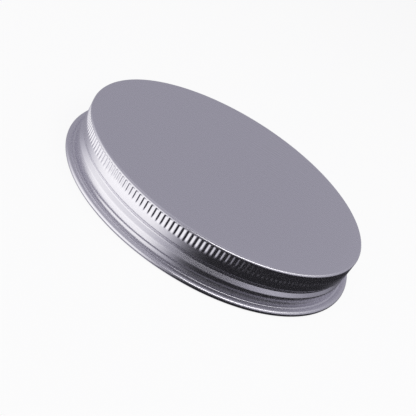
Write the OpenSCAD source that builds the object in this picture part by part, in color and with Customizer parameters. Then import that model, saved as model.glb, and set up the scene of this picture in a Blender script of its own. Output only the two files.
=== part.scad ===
// Screw cap of a wide-mouth jar: one pressed aluminium sheet with a knurled band, a rolled
// neck and thread and a curled hem, and the foam liner that seals against the jar's rim.
// The cap stands mouth down on its hem, and the jar enters from below along +Z.

/* [Shell] */
// Outside diameter of the band and skirt
band_d = 85; // [70:0.5:110]
// Height over all, from the hem's underside to the top face
cap_h = 12.4; // [12:0.1:20]
// Thickness of the sheet
sheet_t = 0.3; // [0.26:0.01:0.36]
// Outside radius of the bend between the top panel and the band
corner_r = 0.7; // [0.5:0.05:1.5]

/* [Knurl] */
// Distance from the top face down to the knurl's upper end
knurl_drop = 0.6; // [0.5:0.05:1.2]
// Length of the grooves
knurl_len = 2.9; // [1:0.1:3.5]
// Distance from one groove to the next round the band
knurl_pitch = 1.3; // [1.3:0.05:3]
// Radius of a groove's round section
knurl_r = 0.6; // [0.4:0.05:0.6]
// Depth of a groove
knurl_depth = 0.25; // [0.1:0.01:0.25]

/* [Neck] */
// Height of the band's lower edge
shoulder_z = 7.15; // [7:0.05:7.5]
// Height of the slope from the band in to the neck
shoulder_h = 0.8; // [0.6:0.05:0.9]
// Depth of the neck below the band's face
neck_depth = 0.6; // [0.4:0.05:0.7]
// Length of the neck between its two slopes
neck_len = 0.85; // [0.75:0.05:1]
// Height of the slope from the neck back out to the skirt
neck_slope_h = 1.25; // [1:0.05:1.5]

/* [Thread] */
// Rise of the thread in one turn
thread_lead = 3.6; // [3:0.1:4]
// Length of the thread in turns, with its two run-outs
thread_turns = 0.85; // [0.5:0.05:0.95]
// Direction of its lower end, round the cap's axis
thread_start = -140; // [-180:5:180]
// Height of the groove's middle at its lower end
thread_z = 2.75; // [2.7:0.05:3]
// Width of the groove
thread_w = 1.6; // [1.2:0.05:1.7]
// Depth of the groove
thread_depth = 0.35; // [0.25:0.05:0.5]

/* [Hem] */
// Width of the hem outside the skirt
hem_w = 2.4; // [2.2:0.05:3.5]
// Outside radius of the curl's section
curl_r = 0.85; // [0.75:0.01:0.9]
// Angle through which the sheet's edge is curled
curl_turn = 270; // [200:5:280]
// Height of the sheet's middle where the skirt turns out
flange_z = 1.1; // [1.05:0.05:1.2]
// Drop of the flange from there to the groove beside the curl
flange_drop = 0.2; // [0.1:0.05:0.3]

/* [Bends] */
// Radius of the bends above the neck, at the sheet's middle
neck_bend_r = 0.35; // [0.25:0.05:0.45]
// Radius of the bend between the skirt and the flange
foot_bend_r = 0.3; // [0.25:0.05:0.4]
// Radius of the bend between the flange and the curl
dip_bend_r = 0.25; // [0.2:0.05:0.3]

/* [Liner] */
// Thickness of the foam liner
liner_t = 1; // [0.5:0.1:2]
// Clearance between the liner's edge and the narrowest ring of the shell above it
liner_gap = 0.1; // [0.05:0.05:1]

/* [Hidden] */

metal = "silver";
foam = "white";

band_r = band_d / 2;
half_t = sheet_t / 2;
wall_r = band_r - half_t;
inner_r = band_r - sheet_t;
neck_top = shoulder_z - shoulder_h;
neck_foot = neck_top - neck_len;
skirt_top = neck_foot - neck_slope_h;

curl_mid = [band_r + hem_w - curl_r, curl_r];
curl_mid_r = curl_r - half_t;
dip = [curl_mid.x - curl_r, flange_z - flange_drop];

knurl_count = floor(PI * band_d / knurl_pitch);
knurl_foot = cap_h - knurl_drop - knurl_len;

// The rolled skirt is a grid of points between two seams, in the skirt's foot and in the neck.
// At each seam it ends in a thinner tongue inside the turned sheet, and it laps it a little.
seam_low = thread_z - thread_w / 2 - 0.1;
seam_high = neck_foot + 0.1;
tongue = 0.15;
tongue_inset = 0.05;
lap = 0.02;
run_out = 0.07;

panel_mid = [0, cap_h - half_t];
liner_r = min(inner_r - neck_depth, band_r - corner_r) - liner_gap;
liner_top = panel_mid.y - half_t;

round_fn = 180;
skirt_fn = 90;
skirt_rows = 18;
pin_fn = 16;
bend_steps = 8;
curl_steps = 32;

function unit(v) = v / norm(v);
function left_of(v) = [-v.y, v.x];
function backwards(p) = [for (i = [len(p) - 1:-1:0]) p[i]];

// Points of the bend of radius r that rounds the corner b of the line a, b, c
function bend(a, b, c, r) =
    let (u = unit(a - b), w = unit(c - b))
    let (half = acos(u * w) / 2)
    let (mid = b + unit(u + w) * r / sin(half), from = b + u * r / tan(half) - mid)
    let (swing = sign(cross(b - a, c - b)) * (180 - 2 * half))
    [for (i = [0:bend_steps])
        let (t = swing * i / bend_steps)
        mid + [from.x * cos(t) - from.y * sin(t), from.x * sin(t) + from.y * cos(t)]];

// Direction from c at which the line from p touches the circle of radius r round c
function touch(p, c, r) = atan2(p.y - c.y, p.x - c.x) - acos(r / norm(p - c));

// The line p moved to its left by d, with each stretch parallel to the one it comes from
function beside(p, d) =
    let (n = len(p) - 1)
    let (s = [for (i = [0:n - 1]) left_of(unit(p[i + 1] - p[i]))])
    [for (i = [0:n])
        let (a = s[max(i - 1, 0)], b = s[min(i, n - 1)])
        p[i] + d * (a + b) / (1 + a * b)];

// Points of the line's inner corners, each rounded with its own radius
function rounded(line, radii) =
    [for (k = [0:len(radii) - 1]) each bend(line[k], line[k + 1], line[k + 2], radii[k])];

// The sheet's middle line in two stretches, from the panel to the neck and from the skirt to the curl
neck_end = [wall_r - neck_depth, seam_high];
top_line = concat(
    [panel_mid],
    rounded(
        [panel_mid, [wall_r, panel_mid.y], [wall_r, shoulder_z], [neck_end.x, neck_top], neck_end],
        [corner_r - half_t, neck_bend_r, neck_bend_r]),
    [neck_end]);

curl_from = touch(dip, curl_mid, curl_mid_r);
curl_line = [for (i = [0:curl_steps])
    let (a = curl_from - curl_turn * i / curl_steps)
    curl_mid + curl_mid_r * [cos(a), sin(a)]];
skirt_end = [wall_r, seam_low];
foot_line = concat(
    [skirt_end],
    rounded([skirt_end, [wall_r, flange_z], dip, curl_line[0]], [foot_bend_r, dip_bend_r]),
    curl_line);

module turned_sheet(line) {
    rotate_extrude($fn = round_fn)
        polygon(concat(beside(line, half_t), backwards(beside(line, -half_t))));
}

// A soft rise from 0 to 1 as x goes from 0 to 1, and a soft hump between -1 and 1
function rise(x) = x <= 0 ? 0 : x >= 1 ? 1 : (1 - cos(180 * x)) / 2;
function hump(x) = rise(1 - abs(x));

// How deep the neck and the thread are pressed in at direction a and height z
function neck_at(z) = neck_depth * rise((z - skirt_top) / neck_slope_h);
function thread_at(a, z) =
    let (wound = (a - thread_start) / 360, turn = wound - floor(wound))
    let (ends = rise(turn / run_out) * rise((thread_turns - turn) / run_out))
    thread_depth * ends * hump((z - thread_z - thread_lead * turn) * 2 / thread_w);
function face_r(a, z) = band_r - max(neck_at(z), thread_at(a, z));

// Outside and inside radius of the skirt, with the sheet's thickness kept square to its slope
function skirt_r(a, z, inside) =
    let (slope = (face_r(a, z + lap) - face_r(a, z - lap)) / (2 * lap))
    face_r(a, z) - (inside ? sheet_t * sqrt(1 + slope * slope) : 0);

function row_z(j) =
    j == 0 ? seam_low - tongue
    : j == skirt_rows ? seam_high + tongue
    : seam_low + lap + (seam_high - seam_low - 2 * lap) * (j - 1) / (skirt_rows - 2);
function row_inset(j) = j == 0 || j == skirt_rows ? tongue_inset : 0;

module rolled_skirt() {
    wide = skirt_rows + 1;
    points = [for (i = [0:skirt_fn - 1], side = [0, 1], j = [0:skirt_rows])
        let (a = 360 * i / skirt_fn, z = row_z(j))
        let (r = skirt_r(a, z, side == 1) + row_inset(j) * (side == 1 ? 1 : -1))
        [r * cos(a), r * sin(a), z]];
    function at(i, side, j) = (i % skirt_fn * 2 + side) * wide + j;
    // Two triangles for the quad with the corners p, q, r and s
    function halves(p, q, r, s) = [[p, q, r], [p, r, s]];
    columns = [0:skirt_fn - 1];
    rows = [0:skirt_rows - 1];
    polyhedron(points, concat(
        [for (i = columns, j = rows) each
            halves(at(i, 0, j), at(i, 0, j + 1), at(i + 1, 0, j + 1), at(i + 1, 0, j))],
        [for (i = columns, j = rows) each
            halves(at(i, 1, j), at(i + 1, 1, j), at(i + 1, 1, j + 1), at(i, 1, j + 1))],
        [for (i = columns) each
            halves(at(i, 0, 0), at(i + 1, 0, 0), at(i + 1, 1, 0), at(i, 1, 0))],
        [for (i = columns) each
            halves(at(i, 0, skirt_rows), at(i, 1, skirt_rows),
                at(i + 1, 1, skirt_rows), at(i + 1, 0, skirt_rows))]));
}

// Upright pins round the band with their tips at radius tip, where the knurling tool presses
module knurl_pins(tip, low, high) {
    for (i = [0:knurl_count - 1])
        rotate(i * 360 / knurl_count)
            translate([tip + knurl_r, 0, low])
                cylinder(r = knurl_r, h = high - low, $fn = pin_fn);
}

module cap_shell() {
    knurl_top = knurl_foot + knurl_len;
    color(metal)
        difference() {
            union() {
                turned_sheet(top_line);
                rolled_skirt();
                turned_sheet(foot_line);
                intersection() {
                    knurl_pins(inner_r - knurl_depth, knurl_foot - sheet_t, knurl_top + half_t);
                    cylinder(r = wall_r, h = cap_h, $fn = round_fn);
                }
            }
            knurl_pins(band_r - knurl_depth, knurl_foot, knurl_top);
        }
}

module sealing_liner() {
    color(foam)
        translate([0, 0, liner_top])
            mirror([0, 0, 1])
                cylinder(r = liner_r, h = liner_t, $fn = round_fn);
}

cap_shell();
sealing_liner();
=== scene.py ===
# %% [markdown]
# # A pressed aluminium screw cap
#
# The object is a low, round jar cap drawn from one thin sheet of aluminium, with a foam disc inside
# that seals it. Its looks come from a few small forms that a press and two rollers leave: fine
# upright knurls, a neck, a shallow thread and a hollow curl at the foot. The metal is satin, so what
# it mirrors matters as much as its own colour, and the studio is part of the lesson.

# %% Start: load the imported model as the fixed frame
import math

import bpy
from mathutils import Matrix, Vector


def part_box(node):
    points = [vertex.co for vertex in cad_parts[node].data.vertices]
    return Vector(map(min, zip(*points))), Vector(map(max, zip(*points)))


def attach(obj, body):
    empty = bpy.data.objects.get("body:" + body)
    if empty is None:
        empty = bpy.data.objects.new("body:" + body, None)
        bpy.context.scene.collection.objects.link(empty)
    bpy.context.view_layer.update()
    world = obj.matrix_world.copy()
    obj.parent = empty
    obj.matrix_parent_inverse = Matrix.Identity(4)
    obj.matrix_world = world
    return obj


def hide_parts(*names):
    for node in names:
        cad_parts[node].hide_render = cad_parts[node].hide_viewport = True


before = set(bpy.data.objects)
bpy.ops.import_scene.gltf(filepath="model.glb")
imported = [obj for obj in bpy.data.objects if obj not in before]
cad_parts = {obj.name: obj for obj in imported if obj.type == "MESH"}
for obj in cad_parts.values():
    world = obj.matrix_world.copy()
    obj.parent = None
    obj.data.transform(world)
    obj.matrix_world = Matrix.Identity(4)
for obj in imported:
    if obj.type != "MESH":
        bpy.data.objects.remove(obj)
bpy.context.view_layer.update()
MM = 0.001
shell_low, shell_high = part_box("cap_shell")
liner_low, liner_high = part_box("sealing_liner")
print("frame nodes:", sorted(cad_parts))
print("shell is", round((shell_high.x - shell_low.x) / MM, 2), "mm across")

# %% [markdown]
# ## The camera
#
# The photo looks down on the cap from about 28 degrees, close enough for some perspective, and the
# camera is rolled by 32 degrees, so the cap leans across the picture. A camera is a matrix: its
# columns are the directions right, up and back. Rolling turns right and up about back. The cap isn't
# quite in the middle of the photo, so the camera also stands a little to one side.

# %% Camera: elevation, roll, distance and lens
ELEVATION = math.radians(27.50)
ROLL = math.radians(32.44)
BAND_R = 42.5 * MM
PHOTO_WIDTH = 416
FOCAL_PIXELS = 712.2
SENSOR = 36.0

back = Vector((0, -math.cos(ELEVATION), math.sin(ELEVATION)))
level = Vector((1, 0, 0))
upright = back.cross(level)
right = math.cos(ROLL) * level + math.sin(ROLL) * upright
up = -math.sin(ROLL) * level + math.cos(ROLL) * upright
stand = (-0.0288 * right - 0.0496 * up + 4.813 * back) * BAND_R

lens = bpy.data.cameras.new("photo_camera")
lens.sensor_width = SENSOR
lens.lens = FOCAL_PIXELS / PHOTO_WIDTH * SENSOR
camera = bpy.data.objects.new("photo_camera", lens)
camera.matrix_world = Matrix((right, up, back)).transposed().to_4x4()
camera.location = stand
bpy.context.scene.collection.objects.link(camera)
bpy.context.scene.camera = camera
print("lens", round(lens.lens, 1), "mm, camera", round(stand.length / MM), "mm away")

# %% [markdown]
# ## Helpers
#
# Node trees, for materials and for geometry alike, are built by one small function: it adds a node,
# sets its properties, and fills each input with a value or a link. Colours are written as the hex
# values that one would pick from a photo, and one function turns them to the linear values that the
# renderer works in.

# %% Helpers: add a node, read a colour
def add(tree, kind, settings=None, inputs=None):
    """Adds a node to the tree, with its properties set and its inputs given or linked."""
    made = tree.nodes.new(kind)
    for name, value in (settings or {}).items():
        setattr(made, name, value)
    for name, value in (inputs or {}).items():
        if isinstance(value, bpy.types.NodeSocket):
            tree.links.new(value, made.inputs[name])
        else:
            made.inputs[name].default_value = value
    return made


def linear(hex_colour):
    """Linear RGBA of an sRGB colour such as #AABBCC."""
    parts = [int(hex_colour[i:i + 2], 16) / 255 for i in (1, 3, 5)]
    return [c / 12.92 if c <= 0.04045 else ((c + 0.055) / 1.055) ** 2.4 for c in parts] + [1.0]


def new_material(name):
    """A material with an empty tree, and the tree's output node."""
    material = bpy.data.materials.new(name)
    material.use_nodes = True
    material.node_tree.nodes.clear()
    return material, add(material.node_tree, "ShaderNodeOutputMaterial")


def link_object(name, mesh):
    """An object at the origin that holds the mesh."""
    made = bpy.data.objects.new(name, mesh)
    bpy.context.scene.collection.objects.link(made)
    return made


# %% [markdown]
# ## The metal
#
# Cap sheet is rolled aluminium with a thin clear lacquer. Rolling leaves very fine lines that all
# run one way across the flat panel, too fine to see as lines, and they spread a mirror image into a
# soft satin sheen. So the material is a full metal of medium roughness, with a faint long-drawn
# grain in its roughness and bump. The grain is drawn at a spacing of about 0.3 mm, coarser than the
# real one, which would be lost between the render's pixels. The roughness also drifts a little over
# patches of about 9 mm, as the lacquer is never quite even.

# %% Material: satin aluminium
GRAIN_SPACING = 0.3 * MM
GRAIN_STRETCH = 25
GRAIN_TURN = math.radians(20)
PATCH_SIZE = 9 * MM


def satin_aluminium():
    """Rolled aluminium sheet under clear lacquer."""
    material, output = new_material("satin_aluminium")
    tree = material.node_tree
    place = add(tree, "ShaderNodeTexCoord").outputs["Object"]
    along = add(tree, "ShaderNodeMapping", {}, {
        "Vector": place,
        "Rotation": (0, 0, GRAIN_TURN),
        "Scale": (1 / GRAIN_SPACING / GRAIN_STRETCH, 1 / GRAIN_SPACING, 1 / GRAIN_SPACING)})
    grain = add(tree, "ShaderNodeTexNoise", {}, {
        "Vector": along.outputs["Vector"], "Scale": 1.0, "Detail": 3.0, "Roughness": 0.6})
    patches = add(tree, "ShaderNodeTexNoise", {}, {
        "Vector": place, "Scale": 1 / PATCH_SIZE, "Detail": 2.0})
    grain_part = add(tree, "ShaderNodeMapRange", {}, {
        "Value": grain.outputs["Fac"], "From Min": 0.3, "From Max": 0.7,
        "To Min": -0.02, "To Max": 0.02})
    patch_part = add(tree, "ShaderNodeMapRange", {}, {
        "Value": patches.outputs["Fac"], "From Min": 0.3, "From Max": 0.7,
        "To Min": 0.264, "To Max": 0.276})
    roughness = add(tree, "ShaderNodeMath", {"operation": "ADD"}, {
        0: grain_part.outputs["Result"], 1: patch_part.outputs["Result"]})
    bump = add(tree, "ShaderNodeBump", {}, {
        "Height": grain.outputs["Fac"], "Strength": 0.03, "Distance": 0.02 * MM})
    surface = add(tree, "ShaderNodeBsdfPrincipled", {}, {
        "Base Color": linear("#F2F1F5"), "Metallic": 1.0,
        "Roughness": roughness.outputs["Value"], "Normal": bump.outputs["Normal"]})
    tree.links.new(surface.outputs["BSDF"], output.inputs["Surface"])
    return material


metal = satin_aluminium()
print("material:", metal.name)

# %% [markdown]
# ## The section
#
# A cap like this is a section turned about an axis. The section is a line, the middle of the sheet,
# with rounded corners, and the two faces lie half a sheet to each side of it. Each corner below is a
# radius and a height with the bend that rounds it. The panel, the flange and the curl are the same
# as the CAD part's. The neck and the wall's foot are set a little finer to the photo, within 0.3 mm
# of the CAD part, because a few degrees of slope there change what the metal mirrors.

# %% Section: the sheet's middle line
SHEET = 0.3
HALF = SHEET / 2
CAP_H = shell_high.z / MM
HEM_R = shell_high.x / MM
BAND = BAND_R / MM
WALL = BAND - HALF
SHOULDER_Z = 7.0
NECK_TOP = 6.05
NECK_FOOT = 5.65
SKIRT_TOP = 4.45
NECK_DEPTH = 0.6
FLARE_TOP = 2.7
FLARE = 0.12
FLANGE_Z = 1.1
FLANGE_DROP = 0.2
CURL_R = 0.85
CURL_TURN = math.radians(270)
CURL_STEPS = 30
BEND_STEP = math.radians(10)
PANEL_RINGS = (10, 20, 30, 38)

curl_mid = Vector((HEM_R - CURL_R, CURL_R))
curl_mid_r = CURL_R - HALF
dip = Vector((curl_mid.x - CURL_R, FLANGE_Z - FLANGE_DROP))
CORNERS = [
    (Vector((WALL, CAP_H - HALF)), 0.7 - HALF),
    (Vector((WALL, SHOULDER_Z)), 0.35),
    (Vector((WALL - NECK_DEPTH, NECK_TOP)), 0.35),
    (Vector((WALL - NECK_DEPTH, NECK_FOOT)), 0.5),
    (Vector((WALL, SKIRT_TOP)), 0.8),
    (Vector((WALL, FLARE_TOP)), 3.0),
    (Vector((WALL + FLARE, FLANGE_Z)), 0.35),
    (dip, 0.3)]


def bend(a, b, c, radius):
    """Points of the arc that rounds the corner b of the line a, b, c."""
    u = (a - b).normalized()
    w = (c - b).normalized()
    half = u.angle(w) / 2
    middle = b + (u + w).normalized() * radius / math.sin(half)
    start = b + u * radius / math.tan(half) - middle
    swing = math.copysign(math.pi - 2 * half, (b - a).x * (c - b).y - (b - a).y * (c - b).x)
    steps = max(3, math.ceil(abs(swing) / BEND_STEP))
    return [middle + Matrix.Rotation(swing * i / steps, 2) @ start for i in range(steps + 1)]


def middle_line():
    """The sheet's middle line, from the axis along the panel and down to the curl's edge."""
    axis = Vector((0, CAP_H - HALF))
    reach = dip - curl_mid
    first = math.atan2(reach.y, reach.x) - math.acos(curl_mid_r / reach.length)
    turns = [first - CURL_TURN * i / CURL_STEPS for i in range(CURL_STEPS + 1)]
    curl = [curl_mid + curl_mid_r * Vector((math.cos(a), math.sin(a))) for a in turns]
    path = [axis] + [corner for corner, _ in CORNERS] + [curl[0]]
    line = [axis] + [Vector((r, axis.y)) for r in PANEL_RINGS]
    for k, (_, radius) in enumerate(CORNERS):
        line += bend(path[k], path[k + 1], path[k + 2], radius)
    return line + curl


STEEP = 0.25
ROW_GAP = 0.02


def with_rows(line, levels):
    """The line with a point added at each level where it runs steeply down the wall."""
    out = line[:1]
    for a, b in zip(line, line[1:]):
        if abs(a.x - b.x) < STEEP * (a.y - b.y):
            out += [a.lerp(b, (a.y - z) / (a.y - b.y)) for z in levels
                    if b.y + ROW_GAP < z < a.y - ROW_GAP]
        out.append(b)
    return out


def beside(line, shift):
    """The line moved sideways, with each stretch parallel to the one it comes from."""
    ways = [(b - a).normalized() for a, b in zip(line, line[1:])]
    sides = [Vector((-w.y, w.x)) for w in ways]
    pairs = zip([sides[0]] + sides, sides + [sides[-1]])
    return [p + shift * (s + t) / (1 + s.dot(t)) for p, (s, t) in zip(line, pairs)]


# The knurls fade in over a short length at their top and over a longer one at their foot.
KNURL_DROP = 0.6
KNURL_LEN = 3.3
KNURL_FADE_TOP = 0.3
KNURL_FADE_FOOT = 1.2
THREAD_ROW_TOP = 4.4
THREAD_ROW_STEP = 0.12
THREAD_ROWS = 24
press_top = CAP_H - KNURL_DROP
press_foot = press_top - KNURL_LEN
levels = [press_top - KNURL_FADE_TOP * t for t in (0.0, 0.33, 0.67, 1.0, 1.4)]
levels += [press_foot + KNURL_FADE_FOOT * t for t in (1.15, 1.0, 0.75, 0.5, 0.25, 0.0)]
levels += [THREAD_ROW_TOP - THREAD_ROW_STEP * i for i in range(THREAD_ROWS)]
line = with_rows(middle_line(), levels)
outside = beside(line, HALF)
inside = beside(line, -HALF)
print("section:", len(outside) + len(inside), "points")

# %% [markdown]
# ## Turning the section, in Geometry Nodes
#
# The whole shell follows one rule: a section, turned about the axis, with two rollers' marks pressed
# in. So the section goes in as a bare line of points, and a node tree does the rest. It makes a grid
# whose rows are the section's points and whose columns are steps round the cap, and bends the grid
# round the axis. A knurl needs a dozen columns and a plain wall needs one, so away from the knurls
# the columns are snapped together, twelve to one, and merged. That keeps the mesh closed and light.
#
# Each point of the section carries four numbers: how far the knurling tool presses it in, whether
# the thread roller reaches it, the radius that the thread's depth is counted from, and how many
# columns are snapped together there. A knurl leans a little to one side, as the tool drags the metal
# when it turns. The thread is a shallow groove with a short steep side above and a long soft side
# below, and it climbs round the cap by its lead.

# %% Section mesh: a line of points with their numbers
COLUMNS_PER_KNURL = 12
KNURLS = 205
THREAD_FOOT = 1.5
THREAD_CEILING = 6.9


def smooth(x):
    """0 below 0, 1 above 1, with a soft rise between."""
    x = min(1.0, max(0.0, x))
    return x * x * (3 - 2 * x)


def section_mesh():
    """The section's outline as one open line in the XZ plane, in metres."""
    rows = [(p, BAND - SHEET) for p in inside] + [(p, BAND) for p in reversed(outside)]
    mesh = bpy.data.meshes.new("shell_section")
    mesh.from_pydata([(p.x * MM, 0, p.y * MM) for p, _ in rows], [], [])
    for name in ("press", "roll", "base", "stride"):
        mesh.attributes.new(name, "FLOAT", "POINT")
    for i, (p, base) in enumerate(rows):
        on_wall = abs(p.x - base) < 0.01
        press = smooth((press_top - p.y) / KNURL_FADE_TOP)
        press *= smooth((p.y - press_foot) / KNURL_FADE_FOOT)
        press = press if on_wall else 0.0
        mesh.attributes["press"].data[i].value = press
        reached = THREAD_FOOT < p.y < THREAD_CEILING and p.x < base + FLARE
        mesh.attributes["roll"].data[i].value = float(reached)
        mesh.attributes["base"].data[i].value = base * MM
        mesh.attributes["stride"].data[i].value = 1 if press > 0.001 else COLUMNS_PER_KNURL
    return mesh


# %% Tree: bend the grid round the axis and press the knurl and thread in
MERGE_GAP = 0.002 * MM


def shell_tree():
    """The node tree that turns the section's points into the finished shell."""
    tree = bpy.data.node_groups.new("pressed_shell", "GeometryNodeTree")
    tree.interface.new_socket("Geometry", in_out="INPUT", socket_type="NodeSocketGeometry")
    for name, kind in (
            ("Knurls", "NodeSocketInt"), ("Columns per knurl", "NodeSocketInt"),
            ("Band radius", "NodeSocketFloat"), ("Knurl depth", "NodeSocketFloat"),
            ("Knurl half width", "NodeSocketFloat"), ("Knurl lean", "NodeSocketFloat"),
            ("Thread lead", "NodeSocketFloat"), ("Thread turns", "NodeSocketFloat"),
            ("Thread start", "NodeSocketFloat"), ("Thread height", "NodeSocketFloat"),
            ("Thread width above", "NodeSocketFloat"), ("Thread width below", "NodeSocketFloat"),
            ("Thread foot", "NodeSocketFloat"), ("Thread depth", "NodeSocketFloat"),
            ("Metal", "NodeSocketMaterial")):
        tree.interface.new_socket(name, in_out="INPUT", socket_type=kind)
    tree.interface.new_socket("Geometry", in_out="OUTPUT", socket_type="NodeSocketGeometry")
    given = add(tree, "NodeGroupInput").outputs
    section = given["Geometry"]
    rows = add(tree, "GeometryNodeAttributeDomainSize", {}, {"Geometry": section})
    columns = add(tree, "ShaderNodeMath", {"operation": "MULTIPLY"}, {
        0: given["Knurls"], 1: given["Columns per knurl"]})
    edges = add(tree, "ShaderNodeMath", {"operation": "ADD"}, {0: columns.outputs[0], 1: 1.0})
    grid = add(tree, "GeometryNodeMeshGrid", {}, {
        "Vertices X": edges.outputs[0], "Vertices Y": rows.outputs["Point Count"]})

    index = add(tree, "GeometryNodeInputIndex").outputs["Index"]
    known = dict(given.items())
    known["rows"] = rows.outputs["Point Count"]
    known["index"] = index
    row = add(tree, "ShaderNodeMath", {"operation": "FLOORED_MODULO"}, {
        0: index, 1: known["rows"]}).outputs[0]
    for name in ("press", "roll", "base", "stride"):
        value = add(tree, "GeometryNodeInputNamedAttribute", {"data_type": "FLOAT"}, {"Name": name})
        known[name] = add(tree, "GeometryNodeSampleIndex", {"data_type": "FLOAT"}, {
            "Geometry": section, "Value": value.outputs["Attribute"], "Index": row}).outputs[0]
    place = add(tree, "GeometryNodeSampleIndex", {"data_type": "FLOAT_VECTOR"}, {
        "Geometry": section, "Value": add(tree, "GeometryNodeInputPosition").outputs[0],
        "Index": row})
    split = add(tree, "ShaderNodeSeparateXYZ", {}, {"Vector": place.outputs[0]})
    known["r"] = split.outputs["X"]
    known["z"] = split.outputs["Z"]

    # Each step is a name, a Math operation, and what it works on: a name above it or a number.
    steps = [
        ("column", "DIVIDE", "index", "rows"),
        ("column", "FLOOR", "column"),
        ("column", "DIVIDE", "column", "stride"),
        ("column", "ROUND", "column"),
        ("column", "MULTIPLY", "column", "stride"),
        ("place", "DIVIDE", "column", "Columns per knurl"),
        ("groove", "FLOOR", "place"),
        ("part", "SUBTRACT", "place", "groove"),
        ("part", "MULTIPLY_ADD", "part", 2.0, -1.0),
        ("size", "ABSOLUTE", "part"),
        ("size", "POWER", "size", 1.5),
        ("side", "SIGN", "part"),
        ("part", "MULTIPLY", "size", "side"),
        ("lean", "MULTIPLY", "size", "size"),
        ("lean", "SUBTRACT", 1.0, "lean"),
        ("part", "MULTIPLY_ADD", "lean", "Knurl lean", "part"),
        ("turn", "MULTIPLY_ADD", "part", 0.5, 0.5),
        ("turn", "ADD", "turn", "groove"),
        ("turn", "DIVIDE", "turn", "Knurls"),
        ("angle", "MULTIPLY", "turn", 2 * math.pi),
        ("pitch", "DIVIDE", 2 * math.pi, "Knurls"),
        ("pitch", "MULTIPLY", "pitch", "Band radius"),
        ("off", "MULTIPLY", "size", "pitch"),
        ("off", "MULTIPLY", "off", 0.5),
        ("off", "DIVIDE", "off", "Knurl half width"),
        ("off", "MINIMUM", "off", 1.0),
        ("off", "MULTIPLY", "off", math.pi),
        ("dent", "COSINE", "off"),
        ("dent", "MULTIPLY_ADD", "dent", 0.5, 0.5),
        ("dent", "MULTIPLY", "dent", "Knurl depth"),
        ("dent", "MULTIPLY", "dent", "press"),
        ("wound", "DIVIDE", "Thread start", 2 * math.pi),
        ("wound", "SUBTRACT", "turn", "wound"),
        ("wound", "FRACT", "wound"),
        ("middle", "MULTIPLY_ADD", "wound", "Thread lead", "Thread height"),
        ("off", "SUBTRACT", "z", "middle"),
        ("above", "DIVIDE", "off", "Thread width above"),
        ("room", "SUBTRACT", "middle", "Thread foot"),
        ("room", "MINIMUM", "room", "Thread width below"),
        ("below", "DIVIDE", "off", "room"),
        ("below", "MULTIPLY", "below", -1.0),
        ("off", "MAXIMUM", "above", "below"),
        ("off", "MINIMUM", "off", 1.0),
        ("off", "MULTIPLY", "off", math.pi),
        ("thread", "COSINE", "off"),
        ("thread", "MULTIPLY_ADD", "thread", 0.5, 0.5),
        ("thread", "MULTIPLY", "thread", "Thread depth"),
        ("thread", "MULTIPLY", "thread", "roll"),
        ("end", "SUBTRACT", "Thread turns", "wound")]
    for name, operation, *terms in steps:
        known[name] = add(tree, "ShaderNodeMath", {"operation": operation}, {
            i: known.get(term, term) for i, term in enumerate(terms)}).outputs[0]
    for name in ("wound", "end"):
        fade = add(tree, "ShaderNodeMapRange", {"interpolation_type": "SMOOTHSTEP"}, {
            "Value": known[name], "From Max": 0.07})
        known["thread"] = add(tree, "ShaderNodeMath", {"operation": "MULTIPLY"}, {
            0: known["thread"], 1: fade.outputs["Result"]}).outputs[0]
    for name, operation, *terms in [
            ("neck", "SUBTRACT", "base", "r"),
            ("neck", "MAXIMUM", "neck", 0.0),
            ("thread", "SUBTRACT", "thread", "neck"),
            ("thread", "MAXIMUM", "thread", 0.0),
            ("r", "SUBTRACT", "r", "dent"),
            ("r", "SUBTRACT", "r", "thread"),
            ("x", "COSINE", "angle"),
            ("x", "MULTIPLY", "x", "r"),
            ("y", "SINE", "angle"),
            ("y", "MULTIPLY", "y", "r")]:
        known[name] = add(tree, "ShaderNodeMath", {"operation": operation}, {
            i: known.get(term, term) for i, term in enumerate(terms)}).outputs[0]

    where = add(tree, "ShaderNodeCombineXYZ", {}, {
        "X": known["x"], "Y": known["y"], "Z": known["z"]})
    bent = add(tree, "GeometryNodeSetPosition", {}, {
        "Geometry": grid.outputs["Mesh"], "Position": where.outputs["Vector"]})
    merged = add(tree, "GeometryNodeMergeByDistance", {}, {
        "Geometry": bent.outputs["Geometry"], "Distance": MERGE_GAP})
    shaded = add(tree, "GeometryNodeSetShadeSmooth", {}, {"Geometry": merged.outputs["Geometry"]})
    real = add(tree, "GeometryNodeRealizeInstances", {}, {"Geometry": shaded.outputs["Geometry"]})
    painted = add(tree, "GeometryNodeSetMaterial", {}, {
        "Geometry": real.outputs["Geometry"], "Material": given["Metal"]})
    add(tree, "NodeGroupOutput", {}, {"Geometry": painted.outputs["Geometry"]})
    return tree


# %% Shell: set the tree's sizes and make it a plain mesh
def grown(name, mesh, tree, sizes):
    """A plain-mesh object from the mesh and a Geometry Nodes tree with these sizes."""
    seed = link_object(name, mesh)
    modifier = seed.modifiers.new("grown", "NODES")
    modifier.node_group = tree
    for item in tree.interface.items_tree:
        if item.in_out == "INPUT" and item.name in sizes:
            modifier[item.identifier] = sizes[item.name]
    seen = bpy.context.evaluated_depsgraph_get()
    made = bpy.data.meshes.new_from_object(seed.evaluated_get(seen), depsgraph=seen)
    made.name = name
    seed.modifiers.clear()
    seed.data = made
    return seed


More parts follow.
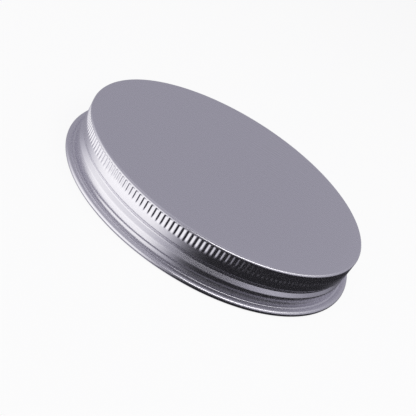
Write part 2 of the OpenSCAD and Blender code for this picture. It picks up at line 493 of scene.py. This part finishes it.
shell = grown("pressed_shell", section_mesh(), shell_tree(), {
    "Knurls": KNURLS,
    "Columns per knurl": COLUMNS_PER_KNURL,
    "Band radius": BAND_R,
    "Knurl depth": 0.19 * MM,
    "Knurl half width": 0.62 * MM,
    "Knurl lean": -0.28,
    "Thread lead": 3.6 * MM,
    "Thread turns": 0.85,
    "Thread start": math.radians(-140),
    "Thread height": 2.25 * MM,
    "Thread width above": 0.42 * MM,
    "Thread width below": 1.6 * MM,
    "Thread foot": THREAD_FOOT * MM,
    "Thread depth": 0.15 * MM,
    "Metal": metal})
shell.data.set_sharp_from_angle(angle=math.radians(60))
shell.data.calc_loop_triangles()
volume = sum(Vector(shell.data.vertices[t.vertices[0]].co).dot(
    shell.data.vertices[t.vertices[1]].co.cross(shell.data.vertices[t.vertices[2]].co)) / 6
    for t in shell.data.loop_triangles)
print("shell:", len(shell.data.loop_triangles), "triangles,", round(volume / MM ** 3), "mm3")
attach(shell, "root")
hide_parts("cap_shell")

# %% [markdown]
# ## The foam liner
#
# The liner is a disc punched from a sheet of foamed polyethylene, pressed in under the panel. Its
# cells are closed and about a third of a millimetre wide, so its face is matt with a fine dimple,
# and the punch leaves a clean but slightly rounded edge.

# %% Material: foamed polyethylene
CELL = 0.35 * MM


def foamed_polyethylene():
    """White closed-cell foam."""
    material, output = new_material("foamed_polyethylene")
    tree = material.node_tree
    place = add(tree, "ShaderNodeTexCoord").outputs["Object"]
    cells = add(tree, "ShaderNodeTexVoronoi", {}, {"Vector": place, "Scale": 1 / CELL})
    shade = add(tree, "ShaderNodeMapRange", {}, {
        "Value": cells.outputs["Distance"], "From Max": 0.8, "To Min": 0.0, "To Max": 1.0})
    colour = add(tree, "ShaderNodeMix", {"data_type": "RGBA"}, {
        "Factor": shade.outputs["Result"], 6: linear("#E4E4E1"), 7: linear("#F2F2F0")})
    bump = add(tree, "ShaderNodeBump", {"invert": True}, {
        "Height": cells.outputs["Distance"], "Strength": 0.35, "Distance": 0.08 * MM})
    surface = add(tree, "ShaderNodeBsdfPrincipled", {}, {
        "Base Color": colour.outputs[2], "Roughness": 0.65, "Normal": bump.outputs["Normal"]})
    tree.links.new(surface.outputs["BSDF"], output.inputs["Surface"])
    return material


foam = foamed_polyethylene()
print("material:", foam.name)

# %% Liner: a punched disc with soft edges
LINER_ROUND = 0.15 * MM
LINER_STEPS = 205


def liner_mesh():
    """The liner's disc turned from its section, with its edges rounded by the punch."""
    r, low, high = liner_high.x, liner_low.z, liner_high.z
    arc = [math.pi / 2 * i / 5 for i in range(6)]
    rim = [(r - LINER_ROUND * (1 - math.cos(a)), high - LINER_ROUND * (1 - math.sin(a)))
           for a in reversed(arc)]
    rim += [(x, low + high - z) for x, z in reversed(rim)]
    rings = [(r * f, high) for f in (0.3, 0.6, 0.9)] + rim + [(r * f, low) for f in (0.9, 0.6, 0.3)]
    steps = LINER_STEPS
    points = [(0, 0, high), (0, 0, low)]
    for x, z in rings:
        turns = [2 * math.pi * i / steps for i in range(steps)]
        points += [(x * math.cos(a), x * math.sin(a), z) for a in turns]
    first = [2 + i for i in range(steps)]
    final = [2 + (len(rings) - 1) * steps + i for i in range(steps)]
    faces = [(0, first[i], first[(i + 1) % steps]) for i in range(steps)]
    faces += [(1, final[(i + 1) % steps], final[i]) for i in range(steps)]
    for k in range(len(rings) - 1):
        a = 2 + k * steps
        faces += [(a + i, a + steps + i, a + steps + (i + 1) % steps, a + (i + 1) % steps)
                  for i in range(steps)]
    mesh = bpy.data.meshes.new("foam_liner")
    mesh.from_pydata(points, [], faces)
    mesh.materials.append(foam)
    mesh.shade_smooth()
    mesh.set_sharp_from_angle(angle=math.radians(40))
    return mesh


liner = link_object("foam_liner", liner_mesh())
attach(liner, "root")
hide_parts("sealing_liner")
print("liner:", len(liner.data.polygons), "faces")

# %% [markdown]
# ## The studio
#
# Bare metal shows its surroundings, so the studio is planned as a set of reflections. On the real cap
# the flat panel mirrors a grey room, the wall on the left mirrors white paper, the wall on the right
# mirrors something black, and the rounded edges have a bright line from a light above. These are
# painted reflections: a large globe stands round the cap, glows with painted brightness, and only
# reflections see it. It carries a few soft-edged painted patches on a grey room, each named after
# the card or wall it stands for: white paper to the left, a black card to the right with a paler wall
# above it and a grey door beside it, and a dull ceiling. Two painted highlights above, no lamps, show
# in the first reflection only, so that the folds at the cap's foot don't fill with their glare. The
# lamps are plain, and the floor is a white table that keeps the cap's shadow. The metal sees the
# globe's painted lower half in place of the table.

# %% World and floor
TABLE_HALF = 2.0


def studio_world():
    """A plain grey room."""
    world = bpy.data.worlds.new("grey_room")
    world.use_nodes = True
    tree = world.node_tree
    tree.nodes.clear()
    grey = add(tree, "ShaderNodeBackground", {}, {"Color": linear("#9B98A4"), "Strength": 1.0})
    add(tree, "ShaderNodeOutputWorld", {}, {"Surface": grey.outputs["Background"]})
    bpy.context.scene.world = world


def white_table():
    """A floor that shows white and keeps a soft shadow."""
    material, output = new_material("white_table")
    tree = material.node_tree
    path = add(tree, "ShaderNodeLightPath")
    seen = add(tree, "ShaderNodeMath", {"operation": "MAXIMUM"}, {
        0: path.outputs["Is Camera Ray"], 1: path.outputs["Is Glossy Ray"]})
    seen = add(tree, "ShaderNodeMath", {"operation": "MAXIMUM"}, {
        0: seen.outputs["Value"], 1: path.outputs["Is Transmission Ray"]})
    part = add(tree, "ShaderNodeMath", {"operation": "MULTIPLY"}, {0: seen.outputs["Value"], 1: 0.9})
    paper = add(tree, "ShaderNodeBsdfDiffuse", {}, {"Color": linear("#E8E8E8")})
    glow = add(tree, "ShaderNodeEmission", {}, {"Color": (1, 1, 1, 1), "Strength": 1.0})
    both = add(tree, "ShaderNodeMixShader", {}, {
        "Fac": part.outputs["Value"], 1: paper.outputs["BSDF"], 2: glow.outputs["Emission"]})
    tree.links.new(both.outputs["Shader"], output.inputs["Surface"])
    corners = [(x * TABLE_HALF, y * TABLE_HALF, 0) for x, y in ((-1, -1), (1, -1), (1, 1), (-1, 1))]
    mesh = bpy.data.meshes.new("floor")
    mesh.from_pydata(corners, [], [(0, 1, 2, 3)])
    mesh.materials.append(material)
    return link_object("floor", mesh)


studio_world()
floor = white_table()

# %% Globe: painted reflections of the room and painted highlights, as the metal sees them
# Each card has a brightness, then the directions round the cap where its edges fade in and out, in
# degrees with -90 towards the camera, then the same for its height over the horizon. A card covers
# those before it.
GLOBE_R = 900 * MM
GLOBE_START = -270
TURN_STEP = 3
HEIGHT_STEP = 2
ALL_ROUND = (-300, -280, 100, 120)
# The globe's base tone is a painted reflection of a grey room.
PAINTED_ROOM_GREY = 0.366
# Painted reflection: each card below is a glowing patch painted on the globe, named after the card,
# wall or door it stands for.
PAINTED_REFLECTION_CARDS = [
    ("ceiling", 0.17, ALL_ROUND, (45, 85, 100, 120)),
    ("dark side", 0.1, (-125, -75, 0, 75), (-120, -100, 100, 120)),
    ("black card", 0.016, (-125, -75, 25, 95), (-120, -100, -12, 0)),
    ("pale wall", 0.52, (-65, -15, 20, 80), (-8, 7, 19, 30)),
    ("grey door", 0.4, (5, 35, 60, 85), (-16, -4, 30, 45)),
    ("white paper", 1.1, (-218, -165, -122, -80), (-47, -33, -10, 50))]
# Painted highlights: glowing patches on the globe that stand for lights above; they are no lamps and
# show only in the first reflection.
PAINTED_HIGHLIGHTS_ABOVE = [
    ("ceiling highlight", 0.24, ALL_ROUND, (48, 60, 100, 120)),
    ("strip highlight", 2.4, (-97, -70, -50, 60), (27, 33, 42, 48))]


def within(x, edges):
    """1 inside the two middle edges, 0 outside the two outer ones, with soft fades between."""
    start, full, fading, end = edges
    return smooth((x - start) / (full - start)) * (1 - smooth((x - fading) / (end - fading)))


def painted(cards, tone, turn, height):
    """The painted brightness in one direction, with the cards laid one over the other."""
    for _, bright, turns, heights in cards:
        tone += (bright - tone) * within(turn, turns) * within(height, heights)
    return tone


def painted_reflection_globe():
    """A glowing globe round the cap that only mirror rays see, painted with the room's reflected
    brightness and highlights.
    """
    material, output = new_material("painted_reflection_globe")
    tree = material.node_tree
    room = add(tree, "ShaderNodeAttribute", {"attribute_name": "room"})
    # The light attribute holds the painted highlights, which glow in the first reflection only.
    light = add(tree, "ShaderNodeAttribute", {"attribute_name": "light"})
    path = add(tree, "ShaderNodeLightPath")
    first = add(tree, "ShaderNodeMath", {"operation": "LESS_THAN"}, {
        0: path.outputs["Glossy Depth"], 1: 1.5})
    level = add(tree, "ShaderNodeMath", {"operation": "MULTIPLY_ADD"}, {
        0: light.outputs["Fac"], 1: first.outputs["Value"], 2: room.outputs["Fac"]})
    paleness = add(tree, "ShaderNodeMapRange", {}, {
        "Value": level.outputs["Value"], "From Min": PAINTED_ROOM_GREY, "From Max": 1.0})
    # Painted reflection colour: the globe's glow is tinted violet where it is dim and turns near
    # white where it is bright.
    tint = add(tree, "ShaderNodeMix", {"data_type": "RGBA"}, {
        "Factor": paleness.outputs["Result"], 6: linear("#F0EDFF"), 7: linear("#FEFDFF")})
    glow = add(tree, "ShaderNodeEmission", {}, {
        "Color": tint.outputs[2], "Strength": level.outputs["Value"]})
    tree.links.new(glow.outputs["Emission"], output.inputs["Surface"])
    points, rooms, lights = [], [], []
    across = 180 // HEIGHT_STEP + 1
    along = 360 // TURN_STEP + 1
    for i in range(along):
        turn = GLOBE_START + TURN_STEP * i
        for j in range(across):
            height = -90 + HEIGHT_STEP * j
            a, b = math.radians(turn), math.radians(height)
            points.append(GLOBE_R * Vector((math.cos(b) * math.cos(a),
                                            math.cos(b) * math.sin(a), math.sin(b))))
            rooms.append(painted(PAINTED_REFLECTION_CARDS, PAINTED_ROOM_GREY, turn, height))
            lights.append(painted(PAINTED_HIGHLIGHTS_ABOVE, 0.0, turn, height))
    faces = [(i * across + j, i * across + j + 1, (i + 1) * across + j + 1, (i + 1) * across + j)
             for i in range(along - 1) for j in range(across - 1)]
    mesh = bpy.data.meshes.new("painted_reflection_globe")
    mesh.from_pydata(points, [], faces)
    mesh.materials.append(material)
    mesh.attributes.new("room", "FLOAT", "POINT").data.foreach_set("value", rooms)
    mesh.attributes.new("light", "FLOAT", "POINT").data.foreach_set("value", lights)
    globe = link_object("painted_reflection_globe", mesh)
    globe.visible_camera = False
    globe.visible_diffuse = False
    globe.visible_shadow = False
    globe.visible_transmission = False
    return globe


globe = painted_reflection_globe()
# The painted black card lies partly below the table's level, so the table is hidden from the metal,
# which sees the globe's painted reflection there instead.
floor.visible_glossy = False
# Counts the painted reflection cards and the painted highlights on the globe.
print("globe:", len(PAINTED_REFLECTION_CARDS), "cards and", len(PAINTED_HIGHLIGHTS_ABOVE), "lights")

# %% Lights: a window to the right and a broad soft box above, neither mirrored in the metal
WINDOW_SIZE = 350 * MM
WINDOW_WATTS = 0.54
WINDOW_PLACE = (0.33, -0.02, 0.5)
BOX_SIZE = 700 * MM
BOX_WATTS = 1.8
BOX_PLACE = (0.05, -0.18, 0.5)


def square_light(name, size, watts, place):
    """A square light that faces the cap and that the metal doesn't mirror."""
    lamp = bpy.data.lights.new(name, "AREA")
    lamp.shape = "SQUARE"
    lamp.size = size
    lamp.energy = watts
    light = bpy.data.objects.new(name, lamp)
    light.location = place
    light.rotation_euler = Vector(place).to_track_quat("Z", "Y").to_euler()
    light.visible_glossy = False
    bpy.context.scene.collection.objects.link(light)


square_light("window", WINDOW_SIZE, WINDOW_WATTS, WINDOW_PLACE)
square_light("soft_box", BOX_SIZE, BOX_WATTS, BOX_PLACE)
bpy.context.scene.view_settings.view_transform = "Standard"
